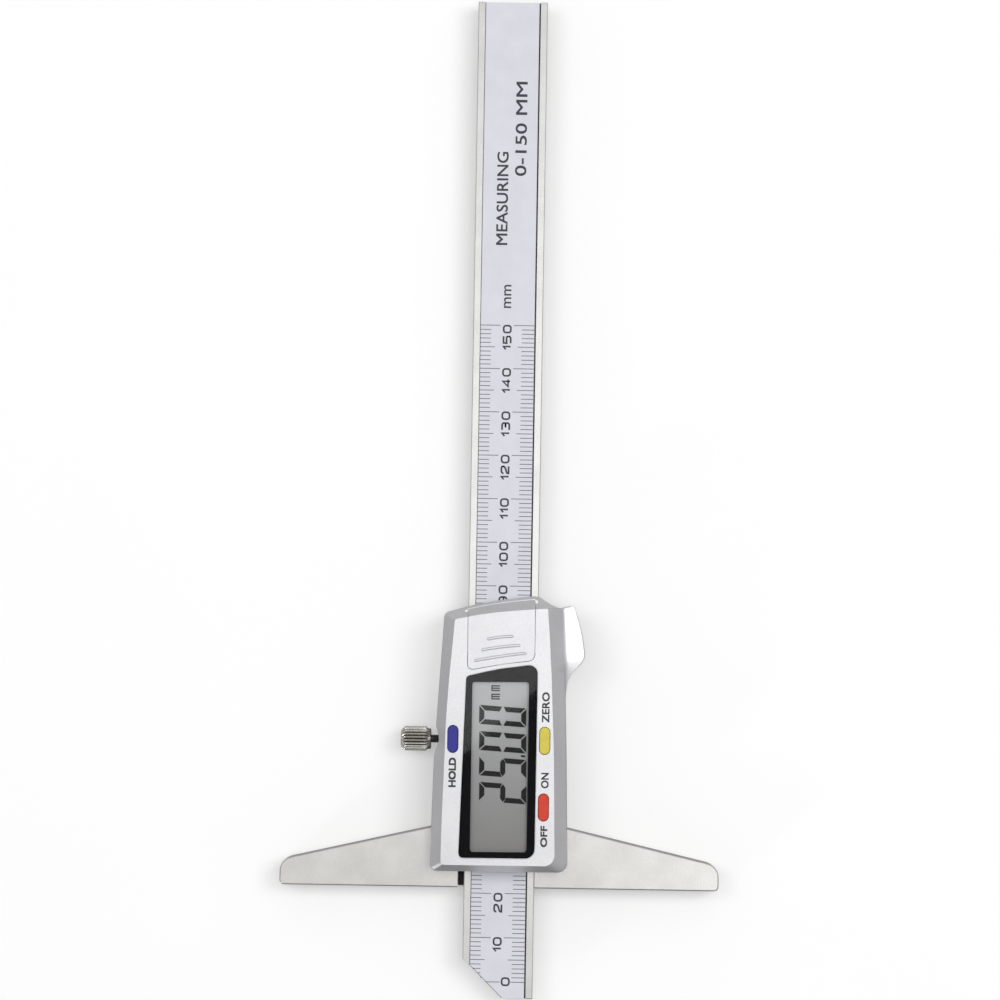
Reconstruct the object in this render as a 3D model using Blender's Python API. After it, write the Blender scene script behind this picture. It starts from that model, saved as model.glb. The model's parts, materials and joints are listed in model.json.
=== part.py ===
"""Digital depth gauge, 0-150 mm, made as an assembly of separate pieces.

Design dimensions are in millimetres and the meshes are made in metres through MM.
In the assembly's own coordinates X runs across the measuring base, Y runs along the beam with
Y = 0 on the measuring face, and Z comes out of the display, with Z = 0 on the flat back.
"""
import math

import bmesh
import bpy
from mathutils import Vector

MM = 0.001

# Measuring beam
BEAM_WIDTH = 16.0
BEAM_LENGTH = 229.0
BEAM_BACK = 3.0
BEAM_FRONT = 6.5
TIP_CUT = 8.9
SHOWN_DEPTH = 25.0
BEAM_TIP = -SHOWN_DEPTH
BEAM_TAIL = BEAM_TIP + BEAM_LENGTH
RECESS_HALF = 6.45
RECESS_FLOOR = 5.7
STRIP_TOP = 6.15
LABEL_BOTTOM = 6.2
LABEL_TOP = 6.42
LABEL_LEFT = -6.38
LABEL_RIGHT = 6.08

# The whole gauge stands on its back with the middle of its length at the world's Y = 0
FACE_Y = -(BEAM_TIP + BEAM_TAIL) / 2

# Base with the measuring face
BASE_HALF = 50.0
BASE_FRONT = 6.5
BASE_END_HEIGHT = 5.7
BASE_MIDDLE_HEIGHT = 13.65
BASE_MIDDLE_HALF = 15.5

# Channel that guides the beam, wider on the left for the gib strip
CHANNEL_LEFT = -9.45
CHANNEL_RIGHT = 8.05
CHANNEL_FLOOR = 2.9
CHANNEL_ROOF = 6.6

# Gib strip beside the beam: low where it lies in the base, full height in the frame
GIB_GAP = 0.15
GIB_START = 0.4
GIB_STEP_Y = 14.5
GIB_END = 60.5
GIB_BOTTOM = 3.05
GIB_LOW_TOP = 5.2
GIB_TOP = 6.45
GIB_SCREW_RADIUS = 1.0
GIB_SCREW_LENGTH = 3.4
GIB_SCREW_SLOT = (0.4, 0.7)

# Slider frame
FRAME_HALF = 13.4
FRAME_SHOULDER = 6.5
FRAME_FRONT = 7.3
FRAME_START = 4.8
FRAME_END = 61.0
FRAME_OPENING_HALF = 7.0
EAR_BACK = 4.8
BASE_POCKET = 4.5
BODY_START = 13.95

# Housing heights
HOUSING_BOTTOM = 6.8
WAIST = 13.0
HOUSING_TOP = 15.5
CEILING = 14.3
LEDGE_TOP = 14.65
LEDGE_IN = 0.6

# Housing walls below the waist: height and share of the way from the foot outline to the waist's
WALL_STEPS = [
    (11.8, 0.03), (12.0, 0.07), (12.14, 0.41), (12.3, 0.66), (12.44, 0.78), (12.59, 0.865), (12.78, 0.94),
]

# Inner parts, heights
BOARD_BOTTOM = 7.6
BOARD_TOP = 8.4
ON_BOARD = 8.5
LCD_BOTTOM = 12.6
LCD_TOP = 14.15
BATTERY_BOTTOM = 8.85
BATTERY_TOP = 14.0

# Display glass, its holder, and the holder's opening: left, right, low, high
LCD_AREA = (-7.9, 7.3, 7.7, 48.0)
HOLDER_AREA = (-8.2, 7.6, 7.4, 48.4)
HOLDER_OPENING = (-7.0, 6.4, 8.4, 47.4)
CONNECTOR_ENDS = (-6.4, 5.8)
CONNECTOR_STARTS = (8.7, 45.3)
CONNECTOR_WIDTH = 1.8
WINDOW_TOP = 15.42
WINDOW_EDGE = 0.12

# Battery cell, LR44 size
BATTERY_CENTRE = (-0.4, 55.9)
BATTERY_RADIUS = 5.8

# Lock screw
LOCK_Y = 33.6
LOCK_Z = 4.75
LOCK_TIP_X = -9.6
LOCK_COLLAR_X = -16.05
LOCK_END_X = -22.95
LOCK_SHANK_RADIUS = 0.95
LOCK_HEAD_RADIUS = 2.82
KNURL_TEETH = 22

# Push buttons: centre on the front face, their slots are this much larger all round
BUTTONS = {
    "hold_button": (-10.93, 33.8),
    "zero_button": (9.77, 33.7),
    "power_button": (9.7, 18.75),
}
BUTTON_WIDTH = 2.3
BUTTON_LENGTH = 6.1
BUTTON_GAP = 0.12
BUTTON_TOP = 15.85
BUTTON_FOOT = 9.45
BUTTON_LIP_TOP = 14.1
BUTTON_LIP_BOTTOM = 13.4
BUTTON_LIP_HALF = (0.7, 3.7)
DOME_PROFILE = [(1.3, 0.0), (1.2, 0.15), (0.8, 0.33), (0.3, 0.4)]

# Screws: places in X and Y
BASE_SCREWS = [(-11.4, 7.2), (-11.4, 11.4), (10.9, 7.2), (10.9, 11.4)]
HOUSING_SCREWS = [(-11.3, 18.0), (11.0, 26.0), (-10.6, 52.0), (10.2, 54.0)]
BOARD_SCREWS = [(-11.1, 44.0), (10.9, 44.0)]
GIB_SCREWS = [22.0, 50.0]
STOP_SCREWS = [(-2.8, 191.0), (2.8, 191.0)]
STOP_CORNERS = [(-5.5, 187.0, 1.0), (5.5, 187.0, 1.0), (5.5, 195.0, 1.0), (-5.5, 195.0, 1.0)]
HEAD_RADIUS = 1.7
SHANK_RADIUS = 0.8
HOLE_GAP = 0.12
HEAD_SUNK = 0.2
BOSS_RADIUS = 1.7
PILOT_RADIUS = 0.9

# Parts on the board
CHIP_PLACE = (-0.4, 27.0)
CHIP_PROFILE = [(4.6, 0.0), (4.2, 0.6), (3.0, 1.1), (1.2, 1.3)]
CRYSTAL_PLACE = (0.5, 39.0)
CRYSTAL_SIZE = (0.75, 5.2)
CAPACITOR_LEFTS = (1.8, 4.4)
CAPACITOR_Y = 35.6
CAPACITOR_SIZE = (1.6, 0.8, 0.8)
CONTACT_HALF = 2.3
CONTACT_THICK = 0.25

ROUND_SIDES = 24

# Corners of outlines: x, y and how far from the corner the rounding starts
FOOT_CORNERS = [
    (-15.7, 3.95, 1.5), (15.45, 4.0, 2.3), (14.9, 29.5, 4.0), (14.4, 44.6, 2.0), (15.15, 48.3, 1.6),
    (19.0, 52.3, 1.5), (18.15, 58.2, 3.0), (16.1, 64.6, 1.0), (12.8, 63.55, 1.2), (10.6, 64.6, 0.9),
    (7.7, 66.45, 1.2), (0.9, 65.65, 3.0), (-6.2, 64.35, 3.0), (-13.35, 62.3, 0.9), (-14.55, 42.5, 4.0),
    (-14.85, 36.4, 0.5), (-14.2, 34.7, 0.6), (-14.2, 32.7, 0.6), (-15.2, 30.0, 0.7), (-15.6, 13.2, 4.0),
]
WAIST_CORNERS = [
    (-15.5, 4.15, 1.4), (15.1, 4.2, 2.2), (14.6, 29.5, 4.0), (14.15, 44.6, 2.0), (14.05, 48.3, 1.2),
    (13.85, 52.3, 1.2), (13.45, 58.2, 2.0), (13.1, 63.65, 0.4), (12.3, 63.7, 0.4), (10.55, 64.6, 0.8),
    (7.6, 66.3, 1.1), (0.9, 65.5, 3.0), (-6.2, 64.2, 3.0), (-13.2, 62.15, 0.8), (-14.4, 42.5, 4.0),
    (-14.7, 36.4, 0.5), (-14.1, 34.7, 0.6), (-14.1, 32.7, 0.6), (-15.05, 30.0, 0.7), (-15.45, 13.2, 4.0),
]
TOP_CORNERS = [
    (-13.25, 5.55, 1.0), (12.4, 5.6, 2.4), (11.95, 29.5, 4.0), (11.25, 44.6, 1.2), (11.1, 48.3, 1.2),
    (10.85, 52.3, 1.2), (10.5, 58.2, 2.0), (10.05, 63.5, 0.2), (9.5, 63.45, 0.2), (8.7, 63.4, 0.2),
    (7.0, 63.25, 0.4), (0.6, 62.75, 3.0), (-5.4, 61.95, 3.0), (-10.9, 60.75, 0.4), (-12.4, 42.5, 4.0),
    (-12.6, 36.4, 0.5), (-12.65, 34.7, 0.5), (-12.68, 32.7, 0.5), (-12.75, 30.0, 0.5), (-13.2, 13.2, 4.0),
]
CORNER_STEPS = [3, 5, 2, 3, 3, 4, 4, 3, 3, 3, 4, 2, 2, 3, 1, 2, 2, 2, 2, 1]
CAVITY_LOW = [
    (-14.0, 5.6, 0.4), (13.7, 5.6, 0.8), (13.25, 30.0, 1.0), (12.75, 44.0, 1.0), (12.3, 61.9, 0.5),
    (7.0, 64.2, 1.0), (-5.5, 62.5, 1.0), (-11.8, 60.7, 0.5), (-13.0, 42.5, 1.0), (-12.85, 36.0, 0.5),
    (-12.85, 31.5, 0.5), (-13.75, 29.5, 0.5), (-14.0, 13.0, 1.0),
]
CAVITY_TOP = [
    (-12.7, 6.1, 0.4), (11.85, 6.1, 0.8), (11.45, 30.0, 1.0), (10.7, 44.0, 1.0), (9.6, 62.4, 0.3),
    (6.8, 62.4, 0.3), (-4.8, 61.3, 1.0), (-10.4, 60.0, 0.5), (-11.9, 42.5, 1.0), (-12.1, 36.0, 0.5),
    (-12.12, 31.5, 0.5), (-12.25, 29.5, 0.5), (-12.7, 13.0, 1.0),
]
BOARD_CORNERS = [
    (-13.3, 6.2, 0.3), (13.1, 6.2, 0.3), (12.7, 30.0, 0.3), (12.2, 44.0, 0.3), (11.8, 61.3, 0.3),
    (-5.5, 61.8, 0.3), (-11.3, 60.1, 0.3), (-12.4, 42.5, 0.3), (-12.3, 31.0, 0.3), (-13.2, 29.0, 0.3),
]
LENS_CORNERS = [
    (-9.35, 7.1, 1.1), (7.9, 7.15, 2.2), (8.0, 50.95, 2.2), (-0.6, 49.85, 3.0), (-8.2, 48.0, 0.7),
]
LENS_STEPS = [4, 6, 6, 2, 3]
VIEW_CORNERS = [(-6.7, 8.5, 0.6), (6.05, 8.6, 0.6), (6.05, 46.85, 0.6), (-6.75, 46.7, 0.5)]
DOOR_CORNERS = [
    (-7.85, 49.35, 1.3), (-0.2, 50.85, 3.0), (7.2, 51.8, 1.3), (7.15, 70.0, 0.2), (-7.95, 70.0, 0.2),
]
DOOR_STEPS = [4, 2, 4, 1, 1]
DOOR_END_BOTTOM = 13.6
DOOR_INNER_END = 61.9
TONGUE_BOTTOM = 13.74
TONGUE_TOP = 14.1
TONGUE_OUT = 0.45
TONGUE_GAP = 0.09
TONGUE_START = 53.0
TONGUE_END = 61.5
SKIRT = 1.0
DOOR_GAP = 0.13
RIBS = [((-3.35, 56.4), (2.1, 57.1)), ((-4.6, 53.95), (3.65, 55.1)), ((-6.2, 51.5), (5.15, 53.35))]
RIB_BEND = 0.14
RIB_SECTION = [(0.66, 15.2), (0.66, 15.5), (0.54, 15.64), (0.26, 15.72)]

LOOKS = {
    "ground_steel": ((0.56, 0.56, 0.54), 0.34, 1.0),
    "screw_steel": ((0.45, 0.45, 0.46), 0.3, 1.0),
    "dark_steel": ((0.2, 0.2, 0.21), 0.4, 1.0),
    "nickel": ((0.62, 0.6, 0.56), 0.25, 1.0),
    "silver_paint": ((0.72, 0.72, 0.74), 0.38, 0.6),
    "scale_film": ((0.67, 0.67, 0.73), 0.45, 0.0),
    "black_board": ((0.02, 0.02, 0.022), 0.5, 0.0),
    "green_board": ((0.03, 0.16, 0.07), 0.45, 0.0),
    "black_ink": ((0.015, 0.015, 0.017), 0.25, 0.0),
    "clear_lens": ((0.8, 0.82, 0.82), 0.05, 0.0),
    "lcd_grey": ((0.33, 0.35, 0.33), 0.2, 0.0),
    "white_plastic": ((0.75, 0.75, 0.72), 0.5, 0.0),
    "black_rubber": ((0.03, 0.03, 0.03), 0.8, 0.0),
    "ceramic": ((0.5, 0.4, 0.28), 0.6, 0.0),
    "blue_plastic": ((0.05, 0.045, 0.35), 0.4, 0.0),
    "yellow_plastic": ((0.72, 0.66, 0.05), 0.4, 0.0),
    "red_plastic": ((0.75, 0.06, 0.02), 0.4, 0.0),
}


def clear_scene():
    for item in list(bpy.data.objects):
        bpy.data.objects.remove(item, do_unlink=True)


def make_material(name):
    colour, roughness, metallic = LOOKS[name]
    material = bpy.data.materials.new(name)
    material.use_nodes = True
    shader = material.node_tree.nodes["Principled BSDF"]
    shader.inputs["Base Color"].default_value = (*colour, 1.0)
    shader.inputs["Roughness"].default_value = roughness
    shader.inputs["Metallic"].default_value = metallic
    material.diffuse_color = (*colour, 1.0)
    return material


# ---------------------------------------------------------------- outlines

def corner_arc(before, corner, after, start, steps):
    """Points of the circular arc that rounds a corner, beginning 'start' away from it."""
    to_before = (before - corner).normalized()
    to_after = (after - corner).normalized()
    first = corner + to_before * start
    last = corner + to_after * start
    turn = math.pi - to_before.angle(to_after)
    weight = math.cos(turn / 2)
    points = []
    for step in range(steps + 1):
        s = step / steps
        a = (1 - s) ** 2
        b = 2 * weight * s * (1 - s)
        c = s ** 2
        points.append((first * a + corner * b + last * c) / (a + b + c))
    return points


def outline(corners, steps=None):
    """Closed counter-clockwise outline through corners (x, y, rounding)."""
    steps = steps or [3] * len(corners)
    places = [Vector(corner[:2]) for corner in corners]
    points = []
    for i, corner in enumerate(corners):
        before = places[i - 1]
        after = places[(i + 1) % len(places)]
        points.extend(corner_arc(before, places[i], after, corner[2], steps[i]))
    return points


def grow(points, distance):
    """The outline moved outwards by a distance, or inwards if it is negative."""
    moved = []
    for i, point in enumerate(points):
        edge_in = (point - points[i - 1]).normalized()
        edge_out = (points[(i + 1) % len(points)] - point).normalized()
        normal_in = Vector((edge_in.y, -edge_in.x))
        normal_out = Vector((edge_out.y, -edge_out.x))
        middle = (normal_in + normal_out).normalized()
        moved.append(point + middle * (distance / max(middle.dot(normal_in), 0.3)))
    return moved


def mix(first, second, share):
    return [a.lerp(b, share) for a, b in zip(first, second)]


def rectangle(left, right, low, high):
    return [Vector((left, low)), Vector((right, low)), Vector((right, high)), Vector((left, high))]


def circle(radius, sides=ROUND_SIDES):
    turns = [math.tau * i / sides for i in range(sides)]
    return [Vector((radius * math.cos(turn), radius * math.sin(turn))) for turn in turns]


def stadium(width, length, steps=5):
    """Slot shape with round ends, long along Y."""
    x = width / 2
    y = length / 2
    corners = [(-x, -y, x), (x, -y, x), (x, y, x), (-x, y, x)]
    points = outline(corners, [steps] * 4)
    return [point for i, point in enumerate(points) if (point - points[i - 1]).length > 1e-4]


def band(start, end, width, bulge, steps=6):
    """Outline of a slightly bent bar with round ends between two points."""
    start = Vector(start)
    end = Vector(end)
    along = (end - start).normalized()
    across = Vector((-along.y, along.x))
    spine = []
    for i in range(steps + 1):
        s = i / steps
        spine.append(start.lerp(end, s) + across * (4 * bulge * s * (1 - s)))
    half = across * (width / 2)
    cap = along * (width * 0.4)
    lower = [point - half for point in spine]
    upper = [point + half for point in reversed(spine)]
    nose = [end + cap - half / 2, end + cap + half / 2]
    heel = [start - cap + half / 2, start - cap - half / 2]
    return lower + nose + upper + heel


# ---------------------------------------------------------------- solids

def loft(sections):
    """Closed solid through outlines with equal point counts, given as (outline, height)."""
    bm = bmesh.new()
    rings = [[bm.verts.new((p.x, p.y, height)) for p in points] for points, height in sections]
    for lower, upper in zip(rings, rings[1:]):
        for i in range(len(lower)):
            j = (i + 1) % len(lower)
            bm.faces.new((lower[i], lower[j], upper[j], upper[i]))
    bm.faces.new(list(reversed(rings[0])))
    bm.faces.new(rings[-1])
    return bm


def prism(points, bottom, top):
    return loft([(points, bottom), (points, top)])


def block(left, right, low, high, bottom, top):
    return prism(rectangle(left, right, low, high), bottom, top)


def turned(profile, sides=ROUND_SIDES):
    """Round solid about Z from (radius, height) pairs, lowest first."""
    return loft([(circle(radius, sides), height) for radius, height in profile])


def shifted(bm, x, y, z=0.0):
    bmesh.ops.translate(bm, verts=bm.verts, vec=(x, y, z))
    return bm


def turned_to_x(bm):
    """Turns a solid made along Z so that it runs towards -X."""
    for vert in bm.verts:
        vert.co = Vector((-vert.co.z, vert.co.y, vert.co.x))
    return bm


def joined(parts):
    """One cutter mesh from several solids that lie clear of each other."""
    whole = bmesh.new()
    for part in parts:
        copies = {vert: whole.verts.new(vert.co) for vert in part.verts}
        for face in part.faces:
            whole.faces.new([copies[vert] for vert in face.verts])
        part.free()
    return whole


def mesh_from(bm, name):
    bmesh.ops.scale(bm, vec=(MM, MM, MM), verts=bm.verts)
    mesh = bpy.data.meshes.new(name)
    bm.to_mesh(mesh)
    bm.free()
    return mesh


class Assembly:
    """Places every piece under one empty at the middle of the measuring face."""

    def __init__(self):
        self.materials = {name: make_material(name) for name in LOOKS}
        self.frame = bpy.data.objects.new("gauge_axes", None)
        self.frame.location = (0.0, FACE_Y * MM, 0.0)
        bpy.context.collection.objects.link(self.frame)

    def place(self, name, mesh, look, at=(0.0, 0.0, 0.0)):
        item = bpy.data.objects.new(name, mesh)
        item.location = Vector(at) * MM
        item.parent = self.frame
        bpy.context.collection.objects.link(item)
        if look and not mesh.materials:
            mesh.materials.append(self.materials[look])
        return item

    def add(self, name, bm, look, at=(0.0, 0.0, 0.0), smooth=False):
        item = self.place(name, mesh_from(bm, name), look, at)
        if smooth:
            shade(item)
        return item

    def carve(self, item, bm, operation="DIFFERENCE"):
        """Boolean of one solid with a tool shape, with the result kept as the mesh."""
        tool = self.place("tool", mesh_from(bm, "tool"), None)
        modifier = item.modifiers.new("carve", "BOOLEAN")
        modifier.operation = operation
        modifier.solver = "EXACT"
        modifier.object = tool
        bpy.context.view_layer.update()
        evaluated = item.evaluated_get(bpy.context.evaluated_depsgraph_get())
        result = bpy.data.meshes.new_from_object(evaluated)
        item.modifiers.clear()
        item.data = result
        bpy.data.objects.remove(tool, do_unlink=True)


def shade(item, angle=35.0):
    item.data.shade_smooth()
    item.data.set_sharp_from_angle(angle=math.radians(angle))


# ---------------------------------------------------------------- fasteners

def sunk_screw_profile(length, gap=0.0, shank=SHANK_RADIUS):
    """Countersunk screw, head first. With a gap it is the hole that takes the screw."""
    cone = HEAD_RADIUS - shank
    return [
        (HEAD_RADIUS + gap, -2 * gap),
        (HEAD_RADIUS + gap, 0.15 + gap),
        (shank + gap, 0.15 + cone + gap),
        (shank + gap, length - 0.3),
        (shank + gap - (0.0 if gap else 0.25), length + gap),
    ]


def sunk_hole(x, y, length, shank=SHANK_RADIUS):
    """Cutter for a countersunk hole that opens through the back plane."""
    profile = sunk_screw_profile(length, HOLE_GAP, shank)
    profile[0] = (profile[0][0], -1.0)
    return shifted(turned(profile, 16), x, y, HEAD_SUNK)


def add_sunk_screws(gauge, name, places, length, back, look):
    """A set of equal countersunk screws, each with a cross recess."""
    first = gauge.add(f"{name}_1", turned(sunk_screw_profile(length), 16), look, smooth=True)
    gauge.carve(first, block(-0.9, 0.9, -0.22, 0.22, -1.0, 0.55))
    gauge.carve(first, block(-0.22, 0.22, -0.9, 0.9, -1.0, 0.55))
    shade(first)
    for number, (x, y) in enumerate(places, start=1):
        item = first if number == 1 else gauge.place(f"{name}_{number}", first.data, look)
        item.location = Vector((x, y, back)) * MM


# ---------------------------------------------------------------- base and slider

def add_base(gauge):
    corners = [
        (-BASE_HALF, 0.0, 1.0), (BASE_HALF, 0.0, 1.0), (BASE_HALF, BASE_END_HEIGHT, 2.6),
        (BASE_MIDDLE_HALF, BASE_MIDDLE_HEIGHT, 0.3), (-BASE_MIDDLE_HALF, BASE_MIDDLE_HEIGHT, 0.3),
        (-BASE_HALF, BASE_END_HEIGHT, 2.6),
    ]
    shape = outline(corners, [3, 3, 6, 1, 1, 6])
    edge = 0.25
    inner = grow(shape, -edge)
    bm = loft([(inner, 0.0), (shape, edge), (shape, BASE_FRONT - edge), (inner, BASE_FRONT)])
    base = gauge.add("base", bm, "ground_steel")
    gauge.carve(base, block(CHANNEL_LEFT, CHANNEL_RIGHT, -5.0, 20.0, CHANNEL_FLOOR, 10.0))
    pocket_half = FRAME_HALF + 0.3
    gauge.carve(base, block(-pocket_half, pocket_half, FRAME_START - 0.3, 20.0, BASE_POCKET, 10.0))
    gauge.carve(base, joined([sunk_hole(x, y, 6.4, 0.9) for x, y in BASE_SCREWS]))
    shade(base, 20.0)


def side_hole(y, radius):
    hole = turned([(radius, -CHANNEL_LEFT - 1.0), (radius, FRAME_HALF + 2.0)], 16)
    return shifted(turned_to_x(hole), 0.0, y, LOCK_Z)


def add_slider_frame(gauge):
    edge = 0.3
    shape = rectangle(-FRAME_HALF, FRAME_HALF, FRAME_START, FRAME_END)
    inner = grow(shape, -edge)
    bm = loft([(inner, 0.0), (shape, edge), (shape, FRAME_SHOULDER)])
    frame = gauge.add("slider_frame", bm, "ground_steel")
    gauge.carve(frame, prism(outline(BOARD_CORNERS), 6.0, FRAME_FRONT), "UNION")
    gauge.carve(frame, block(CHANNEL_LEFT, CHANNEL_RIGHT, -5.0, 80.0, CHANNEL_FLOOR, CHANNEL_ROOF))
    gauge.carve(frame, block(-FRAME_OPENING_HALF, FRAME_OPENING_HALF, -5.0, 80.0, 6.2, 10.0))
    gauge.carve(frame, block(-30.0, 30.0, -5.0, BODY_START, -5.0, EAR_BACK))
    gauge.carve(frame, joined([side_hole(y, 1.1) for y in GIB_SCREWS + [LOCK_Y]]))
    through = [sunk_hole(x, y, 8.0) for x, y in HOUSING_SCREWS]
    ears = [shifted(turned([(1.02, 3.0), (1.02, 9.0)], 16), x, y) for x, y in BASE_SCREWS]
    board = [shifted(turned([(0.82, 5.0), (0.82, 9.0)], 12), x, y) for x, y in BOARD_SCREWS]
    gauge.carve(frame, joined(through + ears + board))
    shade(frame, 20.0)


def add_gib(gauge):
    """Strip that takes up the beam's play, and the set screws that press on it from the left."""
    left = CHANNEL_LEFT + GIB_GAP
    right = -BEAM_WIDTH / 2 - GIB_GAP / 2
    strip = gauge.add("gib_strip", block(left, right, GIB_START, GIB_END, GIB_BOTTOM, GIB_TOP), "dark_steel")
    gauge.carve(strip, block(left - 1.0, right + 1.0, -5.0, GIB_STEP_Y, GIB_LOW_TOP, 10.0))
    radius = GIB_SCREW_RADIUS
    length = GIB_SCREW_LENGTH
    slot_width, slot_depth = GIB_SCREW_SLOT
    head_x = CHANNEL_LEFT - 0.1
    for number, y in enumerate(GIB_SCREWS, start=1):
        screw = turned_to_x(turned([(radius - 0.3, 0.0), (radius, 0.3), (radius, length)], 16))
        at = (head_x, y, LOCK_Z)
        item = gauge.add(f"gib_screw_{number}", screw, "dark_steel", at, smooth=True)
        slot = block(-length - 1.0, slot_depth - length, -slot_width / 2, slot_width / 2, -2.0, 2.0)
        gauge.carve(item, shifted(slot, *at))


def knurled(radius, depth):
    """Outline of a straight-knurled head."""
    points = []
    for i in range(KNURL_TEETH):
        for part, reach in ((0.0, radius), (0.5, radius - depth)):
            turn = math.tau * (i + part) / KNURL_TEETH
            points.append(Vector((reach * math.cos(turn), reach * math.sin(turn))))
    return points


def add_lock_screw(gauge):
    """Knurled thumb screw with its origin on its own axis, at the inner end of its head."""
    tip = LOCK_COLLAR_X - LOCK_TIP_X
    head = LOCK_COLLAR_X - LOCK_END_X
    sides = 2 * KNURL_TEETH
    radius = LOCK_HEAD_RADIUS
    sections = [
        (circle(LOCK_SHANK_RADIUS - 0.3, sides), tip),
        (circle(LOCK_SHANK_RADIUS, sides), tip + 0.3),
        (circle(LOCK_SHANK_RADIUS, sides), 0.0),
        (circle(radius - 0.7, sides), 0.0),
        (circle(radius - 0.5, sides), 0.9),
        (knurled(radius - 0.1, 0.2), 1.1),
        (knurled(radius, 0.3), 1.4),
        (knurled(radius, 0.3), head - 0.8),
        (circle(radius - 0.8, sides), head),
    ]
    screw = turned_to_x(loft(sections))
    gauge.add("lock_screw", screw, "nickel", (LOCK_COLLAR_X, LOCK_Y, LOCK_Z), smooth=True)


# ---------------------------------------------------------------- beam

def cut_tip_outline(left, right, low, high, inset=0.0):
    """Rectangle whose lower left corner follows the beam's 45 degree tip cut."""
    cut_sum = -BEAM_WIDTH / 2 + BEAM_TIP + TIP_CUT + inset
    return [
        Vector((cut_sum - low, low)), Vector((right, low)), Vector((right, high)),
        Vector((left, high)), Vector((left, cut_sum - left)),
    ]


def add_beam(gauge):
    half = BEAM_WIDTH / 2
    edge = 0.15
    shape = cut_tip_outline(-half, half, BEAM_TIP, BEAM_TAIL)
    inner = grow(shape, -edge)
    sections = [
        (inner, BEAM_BACK), (shape, BEAM_BACK + edge), (shape, BEAM_FRONT - edge), (inner, BEAM_FRONT),
    ]
    beam = gauge.add("beam", loft(sections), "ground_steel")
    gauge.carve(beam, block(-RECESS_HALF, RECESS_HALF, BEAM_TIP - 5.0, BEAM_TAIL + 5.0, RECESS_FLOOR, 10.0))
    holes = [shifted(turned([(0.92, 1.0), (0.92, 5.2)], 12), x, y) for x, y in STOP_SCREWS]
    gauge.carve(beam, joined(holes))
    shade(beam, 20.0)
    low = BEAM_TIP + 0.1
    high = BEAM_TAIL - 0.1
    strip = cut_tip_outline(-RECESS_HALF + 0.05, RECESS_HALF - 0.05, low, high, 0.15)
    gauge.add("scale_strip", prism(strip, RECESS_FLOOR + 0.05, STRIP_TOP), "black_board")
    label = cut_tip_outline(LABEL_LEFT, LABEL_RIGHT, low, high, 0.15)
    gauge.add("scale_label", prism(label, LABEL_BOTTOM, LABEL_TOP), "scale_film")


def add_end_stop(gauge):
    """Plate on the beam's back near its tail: it stops the slider, and the tail rests on it."""
    plate = gauge.add("end_stop_plate", prism(outline(STOP_CORNERS), 0.0, BEAM_BACK - 0.05), "ground_steel")
    gauge.carve(plate, joined([sunk_hole(x, y, 4.0) for x, y in STOP_SCREWS]))
    add_sunk_screws(gauge, "stop_screw", STOP_SCREWS, 4.6, HEAD_SUNK, "dark_steel")


# ---------------------------------------------------------------- housing

def housing_envelope():
    """Outer shape: drafted walls, a thumb rest that flows out of them, and a wide top chamfer."""
    foot = outline(FOOT_CORNERS, CORNER_STEPS)
    waist = outline(WAIST_CORNERS, CORNER_STEPS)
    top = outline(TOP_CORNERS, CORNER_STEPS)
    walls = [(mix(foot, waist, share), height) for height, share in WALL_STEPS]
    shoulder = [(waist, WAIST), (mix(waist, top, 0.9), HOUSING_TOP - 0.27), (top, HOUSING_TOP)]
    return loft([(foot, HOUSING_BOTTOM), *walls, *shoulder])


def window_outline(distance):
    return grow(outline(LENS_CORNERS, LENS_STEPS), distance)


def add_housing(gauge):
    housing = gauge.add("housing", housing_envelope(), "silver_paint")
    low = outline(CAVITY_LOW, [2] * len(CAVITY_LOW))
    high = outline(CAVITY_TOP, [2] * len(CAVITY_TOP))
    gauge.carve(housing, loft([(low, 5.0), (low, 12.4), (high, CEILING)]))
    for x, y in HOUSING_SCREWS:
        boss = turned([(BOSS_RADIUS, 7.45), (BOSS_RADIUS, CEILING + 0.25)], 16)
        gauge.carve(housing, shifted(boss, x, y), "UNION")
    pilot = [(PILOT_RADIUS, 5.0), (PILOT_RADIUS, 12.4)]
    pilots = [shifted(turned(pilot, 12), x, y) for x, y in HOUSING_SCREWS]
    gauge.carve(housing, joined(pilots))
    gauge.carve(housing, prism(window_outline(0.1), LEDGE_TOP, 20.0))
    gauge.carve(housing, prism(grow(outline(VIEW_CORNERS), LEDGE_IN), 13.0, 20.0))
    slots = []
    for x, y in BUTTONS.values():
        slot = stadium(BUTTON_WIDTH + 2 * BUTTON_GAP, BUTTON_LENGTH + 2 * BUTTON_GAP)
        slots.append(shifted(prism(slot, 13.0, 20.0), x, y))
    gauge.carve(housing, joined(slots))
    door = grow(outline(DOOR_CORNERS, DOOR_STEPS), DOOR_GAP)
    gauge.carve(housing, prism(door, CEILING - 0.4, 20.0))
    left = DOOR_CORNERS[4][0] - DOOR_GAP
    right = DOOR_CORNERS[3][0] + DOOR_GAP
    wide = TONGUE_OUT + DOOR_GAP
    gauge.carve(housing, block(left, right, 60.0, 75.0, DOOR_END_BOTTOM - 0.12, TONGUE_TOP))
    bottom = TONGUE_BOTTOM - TONGUE_GAP
    top = TONGUE_TOP + TONGUE_GAP
    gauge.carve(housing, block(left - wide, right + wide, 60.0, 75.0, bottom, top))
    shade(housing, 25.0)


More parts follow.
